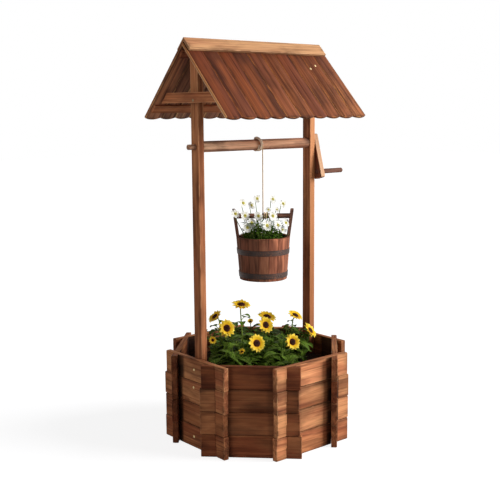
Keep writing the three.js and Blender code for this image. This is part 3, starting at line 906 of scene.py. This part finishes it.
def build_screws():
    spots = []
    for side in (-1, 1):
        for y, z in ((-0.0015, 0.2328), (0.0017, 0.1800), (0.0036, 0.0325)):
            spots.append((X * side, Vector((side * WALL_FACE, y, z)), 1.0))
        spots.append((X * side, Vector((side * COLLAR_FACE, -0.0167, 0.9915)), 0.35))
    down, out = slope_axes(-1)
    for x, z in ((0.1612, 1.0839), (0.1887, 1.0934)):
        spots.append((out, APEX + X * x + down * (APEX.z - z) / sin(ROOF_PITCH), 1.0))
    shape = Shape()
    verts, faces = screw_head()
    for out, place, tone in spots:
        turn = Matrix.Rotation(dice.uniform(0, tau), 4, "Z")
        shape.add(verts, faces, facing_axes(out, place) @ turn, band=verts, tone=tone)
    piece("screws", shape, brass_material(), "frame", angle=35)


build_screws()


# Plants: closed thin leaves and petals, stems, flower heads, and soil
def blade(shape, matrix, length, width, profile, tone, rows=6, columns=4, fold=0.3,
          start=0.0, droop=0.0, thickness=0.0005, saw=0.0):
    """A leaf or petal along its own X, its upper side towards Z."""
    t = np.linspace(0, 1, rows + 1)
    s = np.linspace(-1, 1, columns + 1)
    bend = start + droop * t
    step = length / rows
    middle = (bend[1:] + bend[:-1]) / 2
    run, rise = (np.concatenate([[0], np.cumsum(part(middle))]) * step
                 for part in (np.cos, np.sin))
    half = np.maximum(width / 2 * profile(t), 0.0002)
    half = half * (1 + saw * np.where(np.arange(rows + 1) % 2, 1, -1))
    across = np.outer(half, s) * cos(fold)
    lift = np.outer(half, np.abs(s)) * sin(fold)
    normal = np.stack([-np.sin(bend), np.zeros_like(bend), np.cos(bend)], axis=1)
    spots = np.dstack(np.broadcast_arrays(run[:, None], across, rise[:, None]))
    spots = spots + normal[:, None, :] * lift[:, :, None]
    thick = normal[:, None, :] * thickness / 2
    top, bottom = (spots + thick).reshape(-1, 3), (spots - thick).reshape(-1, 3)
    count = columns + 1
    total = len(top)
    upper = [tuple(reversed(face)) for face in grid_faces(rows + 1, count)]
    lower = [tuple(total + i for i in reversed(face)) for face in upper]
    grid = np.arange(total).reshape(rows + 1, count)
    edge = np.concatenate([grid[0], grid[1:, -1], grid[-1, -2::-1], grid[-2:0:-1, 0]]).tolist()
    sides = [(b, b + total, a + total, a) for a, b in zip(edge, edge[1:] + edge[:1])]
    surface = np.column_stack([np.repeat(t, count), np.tile(s, rows + 1),
                               np.full(total, dice.random())])
    shape.add(np.vstack([top, bottom]), upper + lower + sides, matrix,
              blade=np.tile(surface, (2, 1)), tone=tone)


def heart(t):
    return np.sin(np.pi * np.clip(t, 0, 1) ** 0.55) ** 0.85


def lance(t):
    return np.sin(np.pi * np.clip(t * 0.94 + 0.06, 0, 1) ** 0.8) ** 0.8


def petal_tip(t):
    return np.clip(0.45 + 1.5 * t, 0, 1) * (1 - np.clip((t - 0.45) / 0.55, 0, 1) ** 2.2)


def daisy_tip(t):
    return np.clip(0.5 + 1.3 * t, 0, 1) * (1 - np.clip((t - 0.7) / 0.3, 0, 1) ** 2 * 0.75)


def stem(shape, points, radius):
    path = smooth_path(points, 0.008)
    verts, faces = tube(path, np.linspace(radius, radius * 0.8, len(path)), 7)
    shape.add(verts, faces, blade=verts, tone=0.75)
    return path


def head_disc(shape, matrix, radius, height, rings=7, segments=22):
    """The middle of a flower: a dome whose florets stand up in turn."""
    layers = []
    for i in range(rings + 2):
        share = 1 - max(i - 1, 0) / rings
        reach = max(radius * share, 0.03 * radius)
        layers.append([])
        for j in range(segments):
            bump = 0.07 * radius * (1 if (i + j) % 2 else -1) * (0.2 < share < 0.97)
            z = height * (1 - share ** 2.4) ** 0.5 + bump if i else -0.2 * radius
            layers[-1].append(level(tau * (j + 0.5 * (i % 2)) / segments) * reach + Z * z)
    spots, faces = loft(layers)
    x, y = spots[:, 0] / radius, spots[:, 1] / radius
    shape.add(spots, faces, matrix, blade=np.column_stack([np.hypot(x, y), x, y]), tone=1.0)


def head_cup(shape, matrix, radius, depth):
    """The green cup behind a flower's middle."""
    profile = [(0.14, -1), (0.4, -0.9), (0.75, -0.6), (1, -0.15), (0.95, 0.02)]
    verts, faces = loft([[level(a) * radius * r + Z * depth * z
                          for a in np.arange(14) * tau / 14] for r, z in profile])
    shape.add(verts, faces, matrix, blade=verts * 30, tone=0.9)


def flower(parts, centre, facing, size, middle, rows, profile, petal_width, root,
           stem_radius, tone=1.0, closed=0.0):
    """A head of petals in rows round a middle, with its cup and its stem from the root."""
    matrix = facing_axes(facing, centre)
    for count, lift, reach in rows:
        for i in range(count):
            angle = tau * (i + dice.uniform(-0.16, 0.16)) / count + lift
            length = (size * reach - middle * 0.8) * dice.uniform(0.9, 1.06)
            spot = leaf_axes(level(angle), level(angle) * middle * 0.8)
            blade(parts["petals"], matrix @ spot, length, petal_width * dice.uniform(0.9, 1.1),
                  profile, tone * dice.uniform(0.93, 1.05), fold=dice.uniform(0.1, 0.3),
                  start=lift + closed + dice.uniform(-0.08, 0.12),
                  droop=dice.uniform(-0.45, 0.05) - closed * 0.3, rows=5, columns=2,
                  thickness=0.0004)
    head_disc(parts["middles"], matrix, middle, middle * 0.4)
    head_cup(parts["stems"], matrix, middle * 1.05, middle * 0.8)
    behind = centre - facing.normalized() * middle * 0.8
    bend = behind - facing.normalized() * size * 0.5
    stem(parts["stems"], [root, root * 0.55 + bend * 0.45 + Z * size * 0.1, bend, behind],
         stem_radius)


def leaf_material(name, colours):
    deep, fresh, vein = colours.split()
    n = Nodes(name, 0.6, 0.05, through=0.3)
    surface = n.value("blade")
    along, across = n.split(surface)[:2]
    side = n.math("ABSOLUTE", across)
    rib = n.between(side, 0.1, 0.02)
    slant = n.math("FRACT", n.math("SUBTRACT", n.times(along, 7), n.times(side, 1.8)))
    lines = n.between(n.math("ABSOLUTE", n.math("SUBTRACT", slant, 0.5)), 0.12, 0.02)
    base = n.paint(deep, fresh, n.noise(surface, (5, 3, 40), 3), 0.35, 0.68)
    veins = n.math("MAXIMUM", rib, n.times(lines, 0.5))
    base = n.toned(n.mix(n.times(veins, 0.6), base, vein))
    height = n.math("SUBTRACT", 1.0, n.math("MAXIMUM", rib, lines))
    return n.finish(base, height, 0.4, 0.0008)


def petal_material(name, colours, through):
    root, middle, tip = colours.split()
    n = Nodes(name, 0.55, 0.15, through=through)
    surface = n.value("blade")
    along = n.split(surface)[0]
    lines = n.noise(surface, (1.2, 9, 30))
    base = n.paint(root, middle, along, 0.0, 0.35)
    base = n.paint(base, tip, along, 0.4, 1.0)
    base = n.paint(base, root, lines, 0.52, 0.7, 0, 0.35)
    return n.finish(n.toned(base), lines, 0.35, 0.0005)


def disc_material(name, colours, scale):
    inner, ring, outer = colours.split()
    n = Nodes(name, 0.8, 0.15)
    surface = n.value("blade")
    reach = n.split(surface)[0]
    floret = n.add("TexVoronoi", {"Vector": n.vector("MULTIPLY", surface, (0, 1, 1)),
                                  "Scale": scale}, "Distance")
    base = n.paint(inner, ring, reach, 0.3, 0.55)
    base = n.paint(base, outer, reach, 0.65, 0.95)
    base = n.paint(base, inner, floret, 0.3, 0.7, 0, 0.5)
    return n.finish(base, floret, 0.7, 0.0006)


def soil_material():
    n = Nodes("soil", 0.95, 0.1)
    crumbs, clods = n.noise(n.value("band"), 240, 5), n.noise(n.value("band"), 45, 3)
    base = n.paint("20150f", "49352a", crumbs, 0.35, 0.7)
    base = n.paint(base, "2b1d15", clods, 0.45, 0.65, 0, 0.6)
    return n.finish(base, crumbs, 0.9, 0.004)


SUN_LEAF = leaf_material("sunflower_leaf", "2f450e 648129 94a94a")
SUN_PETAL = petal_material("sunflower_petal", "f7a012 ffcd20 ffe652", 0.05)
SUN_DISC = disc_material("sunflower_disc", "2a120d 43200f 5e2c12", 9)
DAISY_LEAF = leaf_material("daisy_leaf", "2c4a12 5f8a28 98b050")
DAISY_PETAL = petal_material("daisy_petal", "f0eed6 fbfaf2 fdfdf9", 0.08)
DAISY_DISC = disc_material("daisy_disc", "bcae4a dccf64 e8dd86", 12)
SOIL = soil_material()
PLANT_PARTS = {"petals": 60, "middles": 40, "stems": 60, "leaves": 60}  # angles of shading


def plant_pieces(plant, parts, petal, disc, leaf, body):
    for part, material in zip(PLANT_PARTS, (petal, disc, leaf, leaf)):
        piece(f"{plant}_{part}", parts[part], material, body, angle=PLANT_PARTS[part])


def mound(corners, radius, low, high, rings, swell, seed):
    """A closed bed of soil with a rough top."""
    rng = np.random.default_rng(seed)
    angles = (np.arange(corners) + 0.5) * tau / corners
    verts = [(radius * cos(a), radius * sin(a), low) for a in angles]
    for i in range(rings):
        share = 1 - i / rings
        for a in angles:
            reach = radius * share * (1 + (rng.uniform(-0.02, 0.02) if i else 0))
            z = high + swell * (1 - share ** 2) + (rng.uniform(-1, 1) * 0.004 if i else 0)
            verts.append((reach * cos(a), reach * sin(a), z))
    faces = grid_faces(rings + 1, corners, closed=True)
    faces.append(tuple(reversed(range(corners))))
    last = rings * corners
    verts.append((0, 0, high + swell))
    faces.extend((last + j, last + (j + 1) % corners, last + corners)
                 for j in range(corners))
    return verts, faces


TUB_SOIL = 0.208
TUB_INSIDE = 0.2225
ROOT_HEIGHT = TUB_SOIL - 0.005
WALL_TOP = 0.285  # below it leaves stay inside the clump
FILLERS = 62  # leafy stems without flowers
SEPALS = 9

# Head in the photograph, distance towards the camera, facing in the picture's
# right, up and towards the camera, and size across
SUNFLOWERS = [
    (241.2, 304.8, 0.084, (0.08, 0.94, 0.24), 0.0525),
    (215.0, 316.6, 0.039, (-0.58, 0.72, 0.28), 0.045),
    (226.7, 328.2, 0.060, (0.42, 0.36, 0.83), 0.0505),
    (267.1, 316.8, -0.127, (0.20, 0.90, 0.30), 0.057),
    (265.7, 324.9, -0.040, (0.45, 0.40, 0.80), 0.0490),
    (295.3, 315.3, -0.059, (0.36, 0.88, 0.28), 0.046),
    (310.2, 330.4, -0.060, (0.74, 0.60, 0.30), 0.049),
    (292.5, 341.9, 0.030, (0.45, 0.36, 0.82), 0.0490),
    (256.7, 343.3, 0.110, (0.42, 0.36, 0.83), 0.0510),
    (212.6, 340.2, 0.060, (0.30, 0.45, 0.85), 0.023),
]
SUN_BUDS = [(250.4, 321.8, -0.110, 0.022), (242.0, 352.2, 0.150, 0.023)]


def in_picture(right, up, near):
    return picture_right * right + Z * up + picture_depth * near


CLUMP_MIDDLE, CLUMP_WIDTH, CLUMP_DEPTH = 0.009, 0.165, 0.215


def inside_clump(point):
    """Whether a point over the soil lies in the clump of plants, seen from above."""
    wide = (point.dot(picture_right) - CLUMP_MIDDLE) / CLUMP_WIDTH
    deep = point.dot(picture_depth) / CLUMP_DEPTH
    across = max(abs(point.dot(level(tau * wall / 8))) for wall in range(4))
    return wide ** 4 + deep ** 4 < 1 and across < TUB_INSIDE - 0.004


def covers_head(points, heads):
    """Whether any point stands before a flower head, seen from the camera."""
    offs = ((point - centre, size) for centre, size in heads for point in points)
    return any(off.dot(back) > -0.004 and
               hypot(off.dot(camera_x), off.dot(camera_y)) < size * 0.66 for off, size in offs)


def leafy_stem(parts, path, size, count, low, high, heads):
    """Leaves in a spiral up a stem, none of them before a flower head."""
    turn = dice.uniform(0, tau)
    for i in range(count):
        share = low + (high - low) * (i + dice.uniform(0, 0.6)) / count
        spot = Vector(path[min(len(path) - 1, int(share * (len(path) - 1)))])
        turn += 2.4
        out = level(turn)
        length = size * dice.uniform(0.75, 1.15) * (1.1 - 0.55 * share)
        stalk = length * 0.35
        base = spot + out * stalk + Z * stalk * 0.5
        reach = [base + out * length * share - Z * length * 0.3 * share ** 2
                 for share in (0, 0.35, 0.7, 1)]
        if covers_head(reach, heads) or (base.z < WALL_TOP and not inside_clump(reach[-1])):
            continue
        stem(parts["stems"], [spot, spot + out * stalk * 0.5 + Z * stalk * 0.35, base], 0.0011)
        tilt = dice.uniform(-0.2, 0.3)
        blade(parts["leaves"], leaf_axes(out + Z * sin(tilt), base), length,
              length * dice.uniform(0.62, 0.8), heart, dice.uniform(0.45, 1.2), rows=9,
              fold=dice.uniform(0.15, 0.4), start=0.1, droop=dice.uniform(-1.3, -0.5), saw=0.05)


def build_sunflowers():
    parts = {part: Shape() for part in PLANT_PARTS}
    heads = [(photo_point(*spot[:3]), spot[-1]) for spot in SUNFLOWERS + SUN_BUDS]
    for across, down, depth, facing, size in SUNFLOWERS:
        centre = photo_point(across, down, depth)
        size *= 1.1
        facing = in_picture(*facing)
        root = Vector((centre.x * 0.82, centre.y * 0.82, ROOT_HEIGHT))
        flower(parts, centre, facing, size / 2, size * 0.205,
               [(13, 0.12, 1.0), (12, 0.34, 0.9)], petal_tip, size * 0.18, root, 0.0022)
        below = centre - facing.normalized() * size * 0.25
        path = smooth_path([root, root * 0.5 + below * 0.5, below], 0.004)
        leafy_stem(parts, path, 0.046, 8, 0.1, 0.8, heads)
        others = [head for head in heads if (head[0] - centre).length > 0.01]
        seen_flat = facing.dot(picture_depth) > 0.6
        leafy_stem(parts, path, 0.042, 6, 0.72, 0.93, heads if seen_flat else others)
        for i in range(SEPALS):
            out = level(tau * i / SEPALS)
            spot = leaf_axes(out, out * size * 0.12 - Z * size * 0.05)
            blade(parts["leaves"], facing_axes(facing, centre) @ spot, size * 0.22,
                  size * 0.1, lance, 1.1, rows=4, columns=2, start=0.1, droop=-0.3)
    for across, down, depth, size in SUN_BUDS:
        centre = photo_point(across, down, depth)
        root = Vector((centre.x * 0.85, centre.y * 0.85, ROOT_HEIGHT))
        facing = in_picture(dice.uniform(-0.3, 0.3), 0.8, 0.5)
        flower(parts, centre, facing, size / 2, size * 0.24, [(9, 0.2, 1.1), (7, 0.5, 1.0)],
               petal_tip, size * 0.3, root, 0.0016, tone=0.95, closed=0.75)
        path = smooth_path([root, root * 0.5 + centre * 0.5, centre - Z * size * 0.5], 0.004)
        leafy_stem(parts, path, 0.045, 5, 0.1, 0.9, heads)
    fillers = 0
    while fillers < FILLERS:
        spot = Vector((dice.uniform(-0.2, 0.2), dice.uniform(-0.2, 0.2), ROOT_HEIGHT))
        near_post = abs(spot.x) > 0.16 and abs(spot.y) < 0.035
        if not inside_clump(spot * 1.08) or near_post:
            continue
        lean = Vector((dice.uniform(-0.02, 0.02), dice.uniform(-0.02, 0.02), 0))
        behind = 0.5 - spot.dot(picture_depth) / CLUMP_DEPTH / 2
        height = dice.uniform(0.05, 0.11) - 0.002 * behind
        line = [spot, spot + lean * 0.4 + Z * height * 0.5, spot + lean + Z * height]
        if covers_head(line[1:], heads):
            continue
        fillers += 1
        path = stem(parts["stems"], line, 0.0018)
        leafy_stem(parts, path, 0.07 - 0.012 * behind, 7, 0.25, 1.0, heads)
    plant_pieces("sunflower", parts, SUN_PETAL, SUN_DISC, SUN_LEAF, "frame")
    soil = Shape()
    verts, faces = mound(8 * 6, TUB_INSIDE - 0.0015, 0.19, TUB_SOIL - 0.006, 9, 0.008, 3)
    verts = np.array(verts)
    # The bed's edge follows the eight walls
    angles = np.arctan2(verts[:, 1], verts[:, 0])
    off = (angles + tau / 16) % (tau / 8) - tau / 16
    verts[:, :2] /= np.cos(off)[:, None]
    soil.add(verts, faces, band=verts)
    piece("tub_soil", soil, SOIL, "frame", angle=50)


# Head in the photograph, distance towards the camera from the bucket's middle,
# facing in the picture, and size across
BUCKET_DEPTH = 0.005
DAISIES = [
    (243.2, 203.1, 0.014, (0.52, 0.45, 0.72), 0.0292),
    (251.5, 205.3, -0.044, (0.55, 0.48, 0.68), 0.0269),
    (257.2, 198.6, -0.036, (0.52, 0.30, 0.80), 0.0275),
    (272.8, 199.2, -0.018, (0.55, 0.32, 0.77), 0.0269),
    (283.2, 203.7, -0.022, (0.56, 0.34, 0.75), 0.0281),
    (245.1, 215.8, 0.026, (0.55, 0.32, 0.77), 0.0316),
    (258.4, 216.1, 0.024, (0.56, 0.30, 0.77), 0.0316),
    (272.8, 216.0, 0.028, (0.58, 0.28, 0.76), 0.0316),
    (235.5, 213.9, 0.030, (0.35, 0.55, 0.74), 0.0292),
    (251.8, 222.8, 0.034, (0.54, 0.38, 0.75), 0.0292),
    (247.4, 227.6, 0.046, (0.52, 0.34, 0.78), 0.0304),
    (267.1, 225.7, 0.050, (0.56, 0.30, 0.77), 0.0333),
    (277.9, 225.0, 0.040, (0.58, 0.36, 0.73), 0.0292),
    (285.9, 222.8, 0.020, (0.62, 0.36, 0.68), 0.0281),
    (282.5, 229.8, 0.022, (0.58, 0.40, 0.70), 0.0211),
    (268.4, 209.6, 0.034, (0.26, 0.50, 0.82), 0.0190),
    (277.0, 209.5, -0.010, (0.55, 0.52, 0.64), 0.0187),
]
BUCKET_SOIL = 0.578
DAISY_TUFTS = 170


def build_daisies():
    parts = {part: Shape() for part in PLANT_PARTS}
    middle = Vector((ROPE_X, ROPE_Y, BUCKET_SOIL - 0.004))
    for across, down, depth, facing, size in DAISIES:
        centre = photo_point(across, down, BUCKET_DEPTH + depth)
        away = Vector((centre.x - ROPE_X, centre.y - ROPE_Y, 0))
        root = middle + away * min(0.55, 0.045 / max(away.length, 0.001))
        flower(parts, centre, in_picture(*facing), size / 2, size * 0.17, [(16, 0.1, 1.0)],
               daisy_tip, size * 0.165, root, 0.0012)
    for _ in range(DAISY_TUFTS):
        angle = dice.uniform(0, tau)
        reach = 0.056 * sqrt(dice.random())
        out = level(angle)
        root = middle + out * reach
        height = min(dice.uniform(0.03, 0.085) * (1 - 5 * reach), 0.062)
        lean = out * dice.uniform(-0.004, 0.02) * (1 if reach < 0.045 else 0.4)
        line = [root, root + lean * 0.5 + Z * height * 0.6, root + lean + Z * height]
        path = stem(parts["stems"], line, 0.0005)
        for k in range(6):
            spot = Vector(path[int((0.25 + 0.75 * k / 5) * (len(path) - 1))])
            turn = angle + 2.4 * k + dice.uniform(-0.4, 0.4)
            matrix = leaf_axes(level(turn) + Z * dice.uniform(0.2, 0.9), spot)
            length = dice.uniform(0.011, 0.019)
            tone = dice.uniform(0.6, 1.45) * (0.42 + 0.15 * k)
            blade(parts["leaves"], matrix, length, length * 0.34, lance, tone,
                  rows=4, columns=2, fold=0.3, droop=-0.6, thickness=0.0003)
    plant_pieces("daisy", parts, DAISY_PETAL, DAISY_DISC, DAISY_LEAF, "bucket")
    soil = Shape()
    radius = bucket_radius(BUCKET_SOIL - BUCKET_BASE) - STAVE_THICKNESS - 0.001
    verts, faces = mound(32, radius, -0.02, 0, 7, 0.004, 5)
    soil.add(verts, faces, Matrix.Translation((ROPE_X, ROPE_Y, BUCKET_SOIL - 0.004)),
             band=verts)
    piece("bucket_soil", soil, SOIL, "bucket", angle=50)


build_sunflowers()
build_daisies()

# Light, floor and background
KEY_AZIMUTH = radians(47)  # from the front towards the crank
KEY_ELEVATION = radians(20)
KEY_STRENGTH = 4.4
KEY_ANGLE = radians(38)
FILL_AZIMUTH = radians(-85)
FILL_ELEVATION = radians(18)
FILL_STRENGTH = 0.6
WORLD_STRENGTH = 0.08
FLOOR_REACH = 15
FLOOR_GREY = (0.6, 0.6, 0.6, 1)
SHADOW_GREY = (0.35, 0.35, 0.36, 1)
FLOOR_GLOW = 0.86


def white_to_camera(n):
    """One where a ray comes from the camera, a mirror or a glass, else zero."""
    path = n.add("LightPath", {}).node.outputs
    seen = path["Is Camera Ray"]
    for name in ("Is Glossy Ray", "Is Transmission Ray"):
        seen = n.math("MAXIMUM", seen, path[name])
    return seen


def add_sun(name, azimuth, elevation, strength):
    data = bpy.data.lights.new(name, "SUN")
    data.energy, data.angle = strength, KEY_ANGLE
    sun = add_object(name, data)
    toward = Vector((sin(azimuth) * cos(elevation),
                     -cos(azimuth) * cos(elevation), sin(elevation)))
    sun.rotation_mode = "QUATERNION"
    sun.rotation_quaternion = toward.to_track_quat("Z", "Y")


def build_light():
    add_sun("key", KEY_AZIMUTH, KEY_ELEVATION, KEY_STRENGTH)
    add_sun("fill", FILL_AZIMUTH, FILL_ELEVATION, FILL_STRENGTH)
    world = bpy.data.worlds.new("studio")
    n = Tree(world)
    background = n.tree.nodes["Background"].inputs
    background["Color"].default_value = (1, 1, 1, 1)
    strength = n.add("MapRange", {"Value": white_to_camera(n), "To Min": WORLD_STRENGTH})
    n.tree.links.new(strength, background["Strength"])
    bpy.context.scene.world = world


def build_floor():
    """A floor that lights the piece as a grey one and is seen as white."""
    mesh = bpy.data.meshes.new("floor")
    corners = ((-1, -1, 0), (1, -1, 0), (1, 1, 0), (-1, 1, 0))
    mesh.from_pydata([Vector(corner) * FLOOR_REACH for corner in corners], [], [range(4)])
    material = bpy.data.materials.new("pale_floor")
    n = Tree(material)
    n.tree.nodes.clear()
    plain = n.add("BsdfDiffuse", {"Color": FLOOR_GREY})
    shadows = n.add("BsdfDiffuse", {"Color": SHADOW_GREY})
    glow = n.add("Emission", {"Strength": FLOOR_GLOW})
    seen = n.add("AddShader", {0: shadows, 1: glow})
    output = n.tree.nodes.new("ShaderNodeOutputMaterial")
    n.tree.links.new(n.add("MixShader", {0: white_to_camera(n), 1: plain, 2: seen}),
                     output.inputs[0])
    mesh.materials.append(material)
    add_object("floor", mesh)


build_light()
build_floor()
bpy.context.scene.view_settings.view_transform = "Standard"
